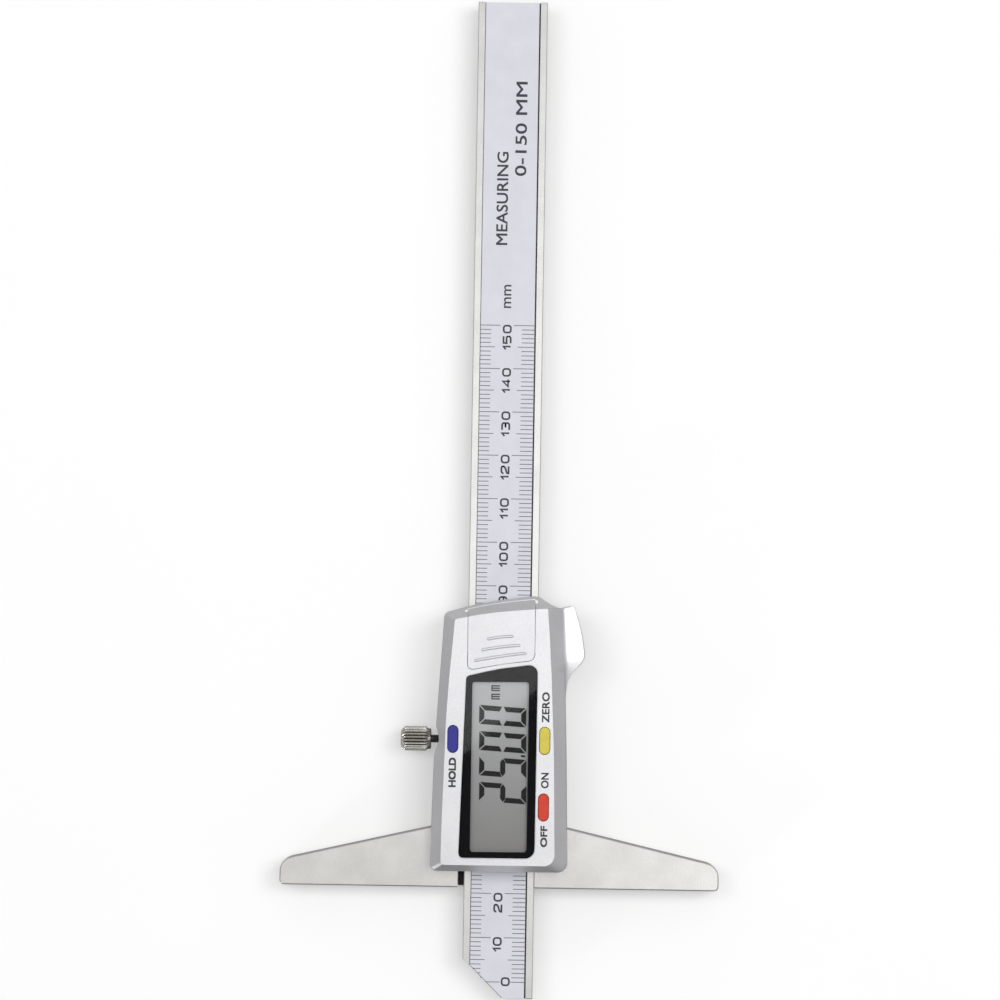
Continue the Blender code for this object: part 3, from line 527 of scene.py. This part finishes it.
# Strokes of each numeral, on a square from (0, 0) to (1, 1): along the line, up, corner rounding
NUMERALS = {
    "0": [("closed", [(0, 0, 0.34), (1, 0, 0.34), (1, 1, 0.34), (0, 1, 0.34)])],
    "1": [("open", [(0, 0.66), (0.62, 1), (0.62, 0)])],
    "2": [("open", [(0, 0.7), (0, 1, 0.3), (1, 1, 0.3), (1, 0.55, 0.3), (0, 0.22, 0.12), (0, 0), (1, 0)])],
    "3": [("open", [(0, 1), (1, 1, 0.3), (1, 0.53, 0.2), (0.35, 0.53)]),
          ("open", [(0.35, 0.53), (1, 0.53, 0.2), (1, 0, 0.34), (0, 0)])],
    "4": [("open", [(0.74, 0), (0.74, 1), (0, 0.27), (1, 0.27)])],
    "5": [("open", [(1, 1), (0.04, 1), (0, 0.56), (1, 0.6, 0.3), (1, 0, 0.34), (0, 0)])],
    "6": [("open", [(0.95, 1), (0, 1, 0.34), (0, 0, 0.34), (1, 0, 0.34), (1, 0.58, 0.28), (0, 0.58)])],
    "7": [("open", [(0, 1), (1, 1), (0.35, 0)])],
    "8": [("closed", [(0, 0, 0.3), (1, 0, 0.3), (1, 1, 0.3), (0, 1, 0.3)]), ("open", [(0, 0.53), (1, 0.53)])],
    "9": [("open", [(0.05, 0), (1, 0, 0.34), (1, 1, 0.34), (0, 1, 0.34), (0, 0.42, 0.28), (1, 0.42)])],
}


def numeral(bm, digit, to_label, start):
    """Adds one numeral whose left side stands at 'start' along the line. Returns its width."""
    width = NARROW_WIDTH if digit == "1" else NUMERAL_WIDTH
    inner_width = (NUMERAL_WIDTH if digit != "1" else NARROW_WIDTH / 0.62 * 0.93) - NUMERAL_STROKE
    inner_height = NUMERAL_HEIGHT - NUMERAL_STROKE
    edge = NUMERAL_STROKE / 2
    for kind, corners in NUMERALS[digit]:
        turned = []
        for corner in corners:
            spot = to_label(start + edge + corner[0] * inner_width, edge + corner[1] * inner_height)
            turned.append((*spot, corner[2] * inner_width if len(corner) > 2 else 0))
        path = rounded(turned, kind == "closed")
        sweep(bm, path, NUMERAL_STROKE, LABEL_TOP, LABEL_TOP + PRINT_HEIGHT, kind == "closed")
    return width


def number_length(text):
    widths = [NARROW_WIDTH if digit == "1" else NUMERAL_WIDTH for digit in text]
    return sum(widths) + NUMERAL_GAP * (len(text) - 1)


def add_numerals():
    bm = bmesh.new()
    baseline = NUMERAL_MIDDLE_X + NUMERAL_HEIGHT / 2
    for value in range(10, SCALE_LENGTH + 1, 10):
        text = str(value)
        to_label = reading_up(baseline, ZERO_TICK_Y + value + 0.14 - number_length(text))
        start = 0.0
        for digit in text:
            start += numeral(bm, digit, to_label, start) + NUMERAL_GAP
    numeral(bm, "0", reading_up(1.8 + NUMERAL_HEIGHT / 2, ZERO_TICK_Y + 0.1 - NUMERAL_WIDTH / 2), 0.0)
    add_piece("scale_numerals", mesh_from(bm, "scale_numerals"), DARK_INK, "beam")


def tick_kind(value):
    return 10 if value % 10 == 0 else 5 if value % 5 == 0 else 1


def add_ticks():
    bm = bmesh.new()
    top = LABEL_TOP + PRINT_HEIGHT / 2
    half = TICK_WIDTH / 2
    for value in range(SCALE_LENGTH + 1):
        y = ZERO_TICK_Y + value
        cut = label_cut_x(y) + 0.05
        left = max(LABEL_LEFT + 0.05, cut)
        left_end = 0.5 if value == 0 else LABEL_LEFT + LEFT_TICKS[tick_kind(value)]
        right_start = 2.94 if value == 0 else LABEL_RIGHT - RIGHT_TICKS[tick_kind(value)]
        for start, end in ((left, left_end), (right_start, LABEL_RIGHT - 0.03)):
            outline = [Vector((start, y - half)), Vector((end, y - half)),
                       Vector((end, y + half)), Vector((start, y + half))]
            plate(bm, outline, LABEL_TOP, top)
    add_piece("scale_ticks", mesh_from(bm, "scale_ticks"), SCALE_INK, "beam")


def label_cut_x(y):
    """Left end of the film at a height, where the tip is cut at 45 degrees."""
    return LABEL_CUT_SUM - y


def find_label_cut():
    """x + y along the film's 45 degree cut: the smallest sum of any corner of the film."""
    corners = [vertex.co / MM for vertex in frame["nodes"]["scale_label"].data.vertices]
    return min(corner.x + corner.y for corner in corners)


LABEL_CUT_SUM = find_label_cut()


def add_label_border():
    """Thin dark line along the film's left edge and round its cut: partly a printed outline, partly painted
    shade of the gap beside the film.
    """
    bm = bmesh.new()
    x = LABEL_LEFT + 0.06
    path = [Vector((LABEL_CUT_SUM - low("scale_label").y + 0.1, low("scale_label").y + 0.06)),
            Vector((x, LABEL_CUT_SUM - x + 0.1)), Vector((x, high("scale_label").y - 0.05))]
    sweep(bm, path, 0.1, LABEL_TOP, LABEL_TOP + PRINT_HEIGHT / 2)
    add_piece("scale_border", mesh_from(bm, "scale_border"), SCALE_INK, "beam")


# ---------------------------------------------------------------- lettering

def add_text(name, words, x_range, y_range, surface, finish, body, weight):
    """Generic word in Blender's own font, reading up along +Y and fitted to a rectangle.

    Copies shifted by 'weight' millimetres lie over each other and thicken the strokes."""
    curve = bpy.data.curves.new(name, "FONT")
    curve.body = words
    curve.extrude = 0.01
    curve.resolution_u = 4
    source = bpy.data.objects.new(name, curve)
    bpy.context.scene.collection.objects.link(source)
    bpy.context.view_layer.update()
    evaluated = source.evaluated_get(bpy.context.evaluated_depsgraph_get())
    mesh = bpy.data.meshes.new_from_object(evaluated)
    bpy.data.objects.remove(source, do_unlink=True)
    bpy.data.curves.remove(curve)
    us = [vertex.co.x for vertex in mesh.vertices]
    vs = [vertex.co.y for vertex in mesh.vertices]
    stretch_u = (y_range[1] - y_range[0] - weight) / (max(us) - min(us))
    stretch_v = (x_range[1] - x_range[0] - weight) / (max(vs) - min(vs))
    bm = bmesh.new()
    for layer, (shift_u, shift_v) in enumerate(((0, 0), (weight, 0), (weight, weight), (0, weight))):
        verts = []
        for vertex in mesh.vertices:
            u = (vertex.co.x - min(us)) * stretch_u + shift_u
            v = (vertex.co.y - min(vs)) * stretch_v + shift_v
            z = surface + (PRINT_HEIGHT + COPLANAR_GAP * layer if vertex.co.z > 0 else 0.0)
            verts.append(bm.verts.new((x_range[1] - v, y_range[0] + u, z)))
        for polygon in mesh.polygons:
            bm.faces.new([verts[i] for i in polygon.vertices])
    bpy.data.meshes.remove(mesh)
    add_piece(name, mesh_from(bm, name), finish, body)


# Words on the beam, placed along the scale, and on the housing, placed from the measuring face.
# Each has its range across, its range along and the weight that thickens it.
BEAM_WORDS = (
    ("unit_mark", "mm", (-1.04, 0.62), (154.03, 159.39), 0.05),
    ("legend_1", "MEASURING", (-3.12, -0.48), (168.61, 190.28), 0.09),
    ("legend_2", "0-150 MM", (1.0, 3.65), (184.72, 206.69), 0.09),
)
HOUSING_WORDS = (
    ("hold_text", "HOLD", (-11.8, -10.1), (22.97, 29.62), 0.2),
    ("zero_text", "ZERO", (9.04, 10.76), (37.8, 44.64), 0.13),
    ("on_text", "ON", (9.07, 10.81), (23.04, 26.53), 0.12),
    ("off_text", "OFF", (9.1, 10.68), (9.85, 14.65), 0.16),
)


def add_lettering():
    for words, origin, place in (
        (BEAM_WORDS, ZERO_TICK_Y, (LABEL_TOP, DARK_INK, "beam")),
        (HOUSING_WORDS, FACE_Y, (HOUSING_TOP, LABEL_INK, "slider")),
    ):
        for name, text, x_range, y_range, weight in words:
            along = (origin + y_range[0], origin + y_range[1])
            add_text(name, text, x_range, along, *place, weight)


# ---------------------------------------------------------------- display

SEGMENTS_LIT = {"0": "abcdef", "2": "abged", "5": "afgcd"}

# Digits of the reading: width, height, stroke, the gap between segments, and the lean at the top
DIGIT_WIDTH = 4.28
DIGIT_HEIGHT = 10.64
DIGIT_STROKE = 1.15
DIGIT_GAP = 0.24
DIGIT_LEAN = 0.65
# Each digit with its distance from the measuring face and the X of its foot
READING = (("2", 19.32, 5.83), ("5", 25.05, 5.73), ("0", 30.75, 5.64), ("0", 36.62, 5.55))
DECIMAL_POINT = [(4.5, 29.95), (5.45, 29.88), (5.45, 30.33), (4.5, 30.4)]

# Unit on the display: two letters m, each of three legs under a bar
UNIT_STARTS = (42.95, 44.85)
UNIT_LEGS = (0.0, 0.52, 1.04)
UNIT_STROKE = 0.27
UNIT_BAR_X = -2.3
UNIT_FOOT_X = -0.5

READING_GAP = 0.02
READING_THICKNESS = 0.03


def segment_outlines(width, height, stroke, gap):
    """Outlines of the seven segments of one digit: along the line and up."""
    k = gap * 0.7
    middle = height / 2
    half = stroke / 2
    inner = width - stroke
    under = height - stroke
    bend = half + 2 * k
    return {
        "a": [(k, height), (stroke + k, under), (inner - k, under), (width - k, height)],
        "d": [(k, 0), (width - k, 0), (inner - k, stroke), (stroke + k, stroke)],
        "b": [(width, height - k), (inner, under - k), (inner, middle + half + k), (width, middle + k)],
        "c": [(width, k), (width, middle - k), (inner, middle - half - k), (inner, stroke + k)],
        "e": [(0, k), (stroke, stroke + k), (stroke, middle - half - k), (0, middle - k)],
        "f": [(0, height - k), (0, middle + k), (stroke, middle + half + k), (stroke, under - k)],
        "g": [(k, middle), (bend, middle - half), (width - bend, middle - half),
              (width - k, middle), (width - bend, middle + half), (bend, middle + half)],
    }


def add_reading():
    """The reading on the display: 25.00 with its unit."""
    bm = bmesh.new()
    bottom = LCD_TOP + READING_GAP
    top = bottom + READING_THICKNESS
    outlines = segment_outlines(DIGIT_WIDTH, DIGIT_HEIGHT, DIGIT_STROKE, DIGIT_GAP)
    for digit, y, x in READING:
        place = reading_up(x, FACE_Y + y)
        for letter in SEGMENTS_LIT[digit]:
            points = [place(u + DIGIT_LEAN * v / DIGIT_HEIGHT, v) for u, v in outlines[letter]]
            plate(bm, points, bottom, top)
    plate(bm, [Vector((x, FACE_Y + y)) for x, y in DECIMAL_POINT], bottom, top)
    for start in UNIT_STARTS:
        for offset in UNIT_LEGS:
            y = FACE_Y + start + offset
            sweep(bm, [Vector((UNIT_BAR_X, y)), Vector((UNIT_FOOT_X, y))], UNIT_STROKE, bottom, top)
        ends = (start - UNIT_STROKE / 2, start + UNIT_LEGS[-1] + UNIT_STROKE / 2)
        bar = [Vector((UNIT_BAR_X, FACE_Y + y)) for y in ends]
        sweep(bm, bar, UNIT_STROKE, bottom + COPLANAR_GAP, top + COPLANAR_GAP)
    add_piece("lcd_reading", mesh_from(bm, "lcd_reading"), DIGIT_INK, "slider")


# ---------------------------------------------------------------- lock screw

KNURL_TEETH = 22
KNURL_SIDES = 8
KNURL_DEPTH = 0.52
LOCK_HEAD_LENGTH = 6.9
THREAD_PITCH = 0.45
THREAD_DEPTH = 0.13
THREAD_RADIUS = 0.95
THREAD_SIDES = 24
THREAD_STEPS_PER_PITCH = 8


def knurled_circle(radius, depth):
    """Points round a circle with rounded teeth and narrower grooves between them."""
    points = []
    for i in range(KNURL_TEETH * KNURL_SIDES):
        turn = math.tau * i / (KNURL_TEETH * KNURL_SIDES)
        wave = 0.5 - 0.5 * math.cos(math.tau * i / KNURL_SIDES)
        reach = radius - depth * wave ** 1.3
        points.append((reach * math.cos(turn), reach * math.sin(turn)))
    return points


def add_lock_screw():
    """Thumb screw: straight-knurled nickel head, plain collar and a blackened threaded shank."""
    corner_low = low("lock_screw")
    corner_high = high("lock_screw")
    axis_y = (corner_low.y + corner_high.y) / 2
    axis_z = (corner_low.z + corner_high.z) / 2
    radius = (corner_high.y - corner_low.y) / 2
    outer = corner_low.x
    collar = outer + LOCK_HEAD_LENGTH
    sides = KNURL_TEETH * KNURL_SIDES
    # Along the axis from the outer end: place, radius, knurl depth
    sections = [
        (outer + 0.12, radius - 1.6, 0.0), (outer, radius - 1.35, 0.0), (outer + 0.04, radius - 1.0, 0.04),
        (outer + 0.45, radius - 0.5, 0.25), (outer + 0.95, radius - 0.08, KNURL_DEPTH),
        (outer + 1.15, radius, KNURL_DEPTH), (outer + 5.55, radius, KNURL_DEPTH),
        (outer + 5.75, radius - 0.06, KNURL_DEPTH), (outer + 6.1, radius - 0.36, 0.22),
        (outer + 6.18, radius - 0.42, 0.0), (collar - 0.12, radius - 0.46, 0.0),
        (collar, radius - 0.6, 0.0), (collar, 1.05, 0.0),
    ]
    bm = bmesh.new()
    rings = []
    for x, reach, depth in sections:
        circle = knurled_circle(reach, depth)
        rings.append([bm.verts.new((x, axis_y + a, axis_z + b)) for a, b in circle])
    for lower, upper in zip(rings, rings[1:]):
        for i in range(sides):
            j = (i + 1) % sides
            bm.faces.new((lower[i], lower[j], upper[j], upper[i]))
    bm.faces.new(rings[0])
    bm.faces.new(rings[-1])
    finish = knurled_nickel(axis_y, axis_z, radius - KNURL_DEPTH, radius - KNURL_DEPTH * 0.35, outer)
    mesh = mesh_from(bm, "lock_screw_head", 40.0)
    head = add_piece("lock_screw_head", mesh, finish, "lock_screw")
    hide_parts("lock_screw")

    tip = corner_high.x
    bm = bmesh.new()
    rings = []
    steps = int((tip - collar) / THREAD_PITCH * THREAD_STEPS_PER_PITCH)
    for step in range(steps + 1):
        x = collar - 0.3 + (tip - collar + 0.3) * step / steps
        circle = []
        for i in range(THREAD_SIDES):
            turn = math.tau * i / THREAD_SIDES
            phase = (x / THREAD_PITCH - i / THREAD_SIDES) % 1.0
            groove = THREAD_DEPTH * (1 - abs(2 * phase - 1)) if x > collar + 0.5 else 0.08
            r = THREAD_RADIUS - groove - max(0.0, 0.3 - (tip - x))
            circle.append(bm.verts.new((x, axis_y + r * math.cos(turn), axis_z + r * math.sin(turn))))
        rings.append(circle)
    for lower, upper in zip(rings, rings[1:]):
        for i in range(THREAD_SIDES):
            j = (i + 1) % THREAD_SIDES
            bm.faces.new((lower[i], lower[j], upper[j], upper[i]))
    bm.faces.new(rings[0])
    bm.faces.new(rings[-1])
    mesh = mesh_from(bm, "lock_screw_shank", 50.0)
    add_piece("lock_screw_shank", mesh, DARK_STEEL, "lock_screw")


# ---------------------------------------------------------------- studio

def add_floor():
    """Floor that lights and shows shadows, but that glossy surfaces don't mirror."""
    bm = bmesh.new()
    half = 3000.0
    rim = [Vector((-half, -half)), Vector((half, -half)), Vector((half, half)), Vector((-half, half))]
    plate(bm, rim, -20.0, -0.02)
    mesh = mesh_from(bm, "studio_floor")
    floor = bpy.data.objects.new("studio_floor", mesh)
    bpy.context.scene.collection.objects.link(floor)
    mesh.materials.append(floor_finish())
    floor.visible_glossy = False


def add_dark_card():
    """Dark card beside the camera that only mirrors see, as a photographer keeps glare off a display."""
    bm = bmesh.new()
    corners = [(45, -24.5), (-45, -106), (-45, -190), (45, -190)]
    plate(bm, [Vector(corner) for corner in reversed(corners)], 900.0, 901.0)
    mesh = mesh_from(bm, "dark_card")
    card = bpy.data.objects.new("dark_card", mesh)
    bpy.context.scene.collection.objects.link(card)
    mesh.materials.append(moulded("dark_card", (0.02, 0.02, 0.02), 0.9))
    card.visible_camera = False
    card.visible_diffuse = False
    card.visible_transmission = False
    card.visible_shadow = False


def add_panel(name, at, aim, size, power, colour=(1.0, 1.0, 1.0)):
    light = bpy.data.lights.new(name, "AREA")
    light.shape = "RECTANGLE"
    light.size = size[0]
    light.size_y = size[1]
    light.energy = power
    light.color = colour
    lamp = bpy.data.objects.new(name, light)
    bpy.context.scene.collection.objects.link(lamp)
    direction = Vector(aim) - Vector(at)
    lamp.matrix_world = Matrix.Translation(at) @ direction.to_track_quat("-Z", "Y").to_matrix().to_4x4()
    return lamp


def add_world():
    """Studio surround: dim below, brightest part way up, with pale walls left, right and far.

    The camera itself sees a plain pale backdrop."""
    world = bpy.data.worlds.new("studio")
    bpy.context.scene.world = world
    world.use_nodes = True
    nodes = world.node_tree.nodes
    links = world.node_tree.links

    def math_node(operation, first, second):
        node = nodes.new("ShaderNodeMath")
        node.operation = operation
        for socket, value in zip(node.inputs, (first, second)):
            if isinstance(value, float):
                socket.default_value = value
            else:
                links.new(value, socket)
        return node.outputs[0]

    coordinates = nodes.new("ShaderNodeTexCoord")
    separate = nodes.new("ShaderNodeSeparateXYZ")
    links.new(coordinates.outputs["Generated"], separate.inputs[0])
    x, y, z = separate.outputs
    ramp = nodes.new("ShaderNodeValToRGB")
    links.new(math_node("MULTIPLY", math_node("ADD", z, 1.0), 0.5), ramp.inputs[0])
    stops = ((0.0, 0.1), (0.5, 0.2), (0.7, 0.5), (0.85, 0.35), (1.0, 0.35))
    while len(ramp.color_ramp.elements) < len(stops):
        ramp.color_ramp.elements.new(0.5)
    for element, (position, grey) in zip(ramp.color_ramp.elements, stops):
        element.position = position
        element.color = (grey, grey, grey, 1.0)
    left_and_right = math_node("MULTIPLY", math_node("MAXIMUM", x, math_node("MULTIPLY", x, -1.0)), 0.2)
    far = math_node("MULTIPLY", math_node("MAXIMUM", y, 0.0), 0.3)
    sides = math_node("ADD", left_and_right, far)
    low_sides = math_node("MULTIPLY", sides, math_node("SUBTRACT", 1.0, z))
    surround = math_node("ADD", ramp.outputs[0], low_sides)
    path = nodes.new("ShaderNodeLightPath")
    choose = nodes.new("ShaderNodeMix")
    links.new(path.outputs["Is Camera Ray"], choose.inputs["Factor"])
    links.new(surround, choose.inputs[2])
    choose.inputs[3].default_value = 0.93
    links.new(choose.outputs[0], nodes["Background"].inputs["Color"])


def add_lights():
    add_world()
    # The panels overhead hang at different heights, since two in one plane would hide each other
    add_panel("overhead_panel", (0.04, 0.08, 1.0), (0.04, 0.08, 0.0), (0.6, 0.8), 0.9)
    add_panel("middle_panel", (-0.06, -0.02, 0.98), (-0.06, -0.02, 0.0), (0.4, 0.2), 0.15)
    add_panel("right_panel", (0.24, 0.08, 0.97), (0.24, 0.08, 0.0), (0.2, 0.4), 0.6)
    add_panel("near_right_panel", (0.24, -0.22, 0.96), (0.24, -0.22, 0.0), (0.2, 0.2), 0.1)
    add_panel("left_softbox", (-0.6, 0.2, 1.0), (0.0, 0.0, 0.0), (0.5, 0.5), 2.2)
    add_panel("right_softbox", (0.65, 0.2, 1.0), (0.0, 0.0, 0.0), (0.5, 0.5), 3.5)
    add_panel("corner_light", (-0.62, -0.62, 0.16), (-0.013, -0.085, 0.013), (0.12, 0.12), 0.9)


def add_camera():
    """Camera looking straight down on the display, a little turned, with a long lens."""
    data = bpy.data.cameras.new("camera")
    data.lens = 108.0
    data.sensor_width = 36.0
    data.clip_start = 0.05
    camera = bpy.data.objects.new("camera", data)
    bpy.context.scene.collection.objects.link(camera)
    tilt = Matrix.Rotation(math.radians(3.41), 4, "X")
    roll = Matrix.Rotation(math.radians(0.945), 4, "Z")
    camera.matrix_world = Matrix.Translation((-0.0012, -0.042, 0.6934)) @ (tilt @ roll)
    bpy.context.scene.camera = camera


def set_view():
    view = bpy.context.scene.view_settings
    view.view_transform = "Standard"
    view.look = "None"


# ---------------------------------------------------------------- assembly

OWN_SHAPES = {"lock_screw"}
FACETED = {"housing", "battery_cover"}
FACETED_ANGLE = 20.0
SMOOTH_ANGLE = 28.0


def finish_nodes():
    for finish, members in FINISHES.items():
        for node in members:
            if node not in OWN_SHAPES:
                refine(node, finish, FACETED_ANGLE if node in FACETED else SMOOTH_ANGLE)


def build():
    finish_nodes()
    add_lock_screw()
    add_ticks()
    add_numerals()
    add_label_border()
    add_lettering()
    add_reading()
    add_floor()
    add_dark_card()
    add_lights()
    add_camera()
    set_view()


build()
